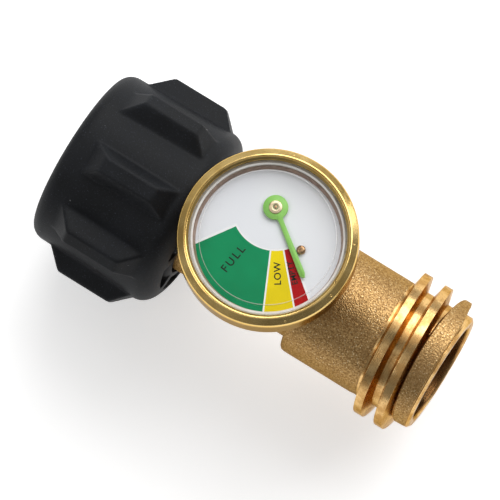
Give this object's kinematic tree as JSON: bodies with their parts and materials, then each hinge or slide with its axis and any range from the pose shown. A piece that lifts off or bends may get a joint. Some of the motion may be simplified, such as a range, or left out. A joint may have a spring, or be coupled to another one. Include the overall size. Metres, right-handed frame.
{
  "type": "gas pressure gauge adapter",
  "caption": "In-line tank adapter: black ribbed handwheel inlet, cast brass body with a small round pressure gauge on top, and a coarse male thread outlet with a check valve.",
  "frame": {"origin": "on the flow axis, in the plane of the handwheel's open face, where the tank valve connects", "axes": "+X along the flow axis, from the handwheel to the male thread outlet; +Z from the flow axis up through the gauge, out of its dial; +Y completes a right-handed frame"},
  "size_m": [0.0917, 0.0488, 0.0593],
  "materials": {
    "wheel_plastic": "moulded, fine grain",
    "bushing_plastic": "moulded",
    "cast_brass": "as cast, blasted",
    "machined_brass": "machined",
    "gold_brass": "polished",
    "seal_rubber": "moulded",
    "spring_steel": "drawn wire and plain plated steel",
    "window_plastic": "clear moulded plastic",
    "gasket_plastic": "pale moulded",
    "dial_print": "printed card under the window",
    "pointer_lime": "lime paint",
    "spring_bronze": "rolled phosphor bronze",
    "stop_copper": "turned"
  },
  "bodies": {
    "body": {"inlet_nipple": "machined_brass", "nose_seal": "seal_rubber", "flow_spring": "spring_steel", "flow_seat_ring": "machined_brass", "flow_stop_clip": "spring_steel", "valve_body": "cast_brass", "outlet_seat_ring": "machined_brass", "outlet_seal": "seal_rubber", "outlet_spring": "spring_steel", "spring_seat": "machined_brass", "gauge_stem": "machined_brass", "stem_washer": "seal_rubber", "gauge_case": "gold_brass", "bezel": "gold_brass", "window_lens": "window_plastic", "window_gasket": "gasket_plastic", "dial": "dial_print", "stop_pin": "stop_copper", "bourdon_tube": "spring_bronze", "tip_block": "machined_brass", "base_plate": "machined_brass", "top_plate": "machined_brass", "pillar_1": "machined_brass", "top_screw_1": "spring_steel", "pillar_2": "machined_brass", "top_screw_2": "spring_steel", "base_screw_1": "spring_steel", "base_screw_2": "spring_steel"},
    "bushing": {"thermal_bushing": "bushing_plastic"},
    "handwheel": {"handwheel": "wheel_plastic"},
    "flow_poppet": {"flow_poppet": "machined_brass"},
    "outlet_plunger": {"outlet_plunger": "machined_brass"},
    "sector": {"sector_gear": "spring_bronze", "sector_arbor": "spring_steel"},
    "link": {"link": "spring_steel"},
    "pointer": {"pinion_arbor": "spring_steel", "pointer_bushing": "machined_brass", "pointer": "pointer_lime", "hairspring": "spring_bronze"}
  },
  "joints": [
    {"name": "handwheel_float", "type": "slide", "parent": "body", "child": "bushing", "axis": [1, 0, 0], "range_m": [-0.0014, 0]},
    {"name": "handwheel_spin", "type": "hinge", "parent": "bushing", "child": "handwheel", "pos_m": [0.0253, 0, 0], "axis": [1, 0, 0], "continuous": true},
    {"name": "flow_poppet_slide", "type": "slide", "parent": "body", "child": "flow_poppet", "axis": [1, 0, 0], "range_m": [0, 0.003], "stiffness_N_per_m": 60, "springref_m": -0.001, "deforming": ["flow_spring"]},
    {"name": "outlet_plunger_slide", "type": "slide", "parent": "body", "child": "outlet_plunger", "axis": [1, 0, 0], "range_m": [-0.004, 0], "stiffness_N_per_m": 300, "springref_m": 0.002, "deforming": ["outlet_spring"]},
    {"name": "sector_swing", "type": "hinge", "parent": "body", "child": "sector", "pos_m": [0.04655, -0.00115, 0.0235], "axis": [0, 0, 1], "range_deg": [0, 18], "stiffness_Nm_per_rad": 0.001, "springref_deg": -2.86},
    {"name": "link_pivot", "type": "hinge", "parent": "sector", "child": "link", "pos_m": [0.04235, -0.00115, 0.0242], "axis": [0, 0, 1], "range_deg": [-18, 0]},
    {"name": "pointer_turn", "type": "hinge", "parent": "body", "child": "pointer", "pos_m": [0.04655, 0.00665, 0.026], "axis": [0, 0, 1], "range_deg": [-90, 0]}
  ],
  "couplings": [
    {"joint": "pointer_turn", "follows": "sector_swing", "ratio": -5},
    {"joint": "link_pivot", "follows": "sector_swing", "ratio": -1}
  ]
}
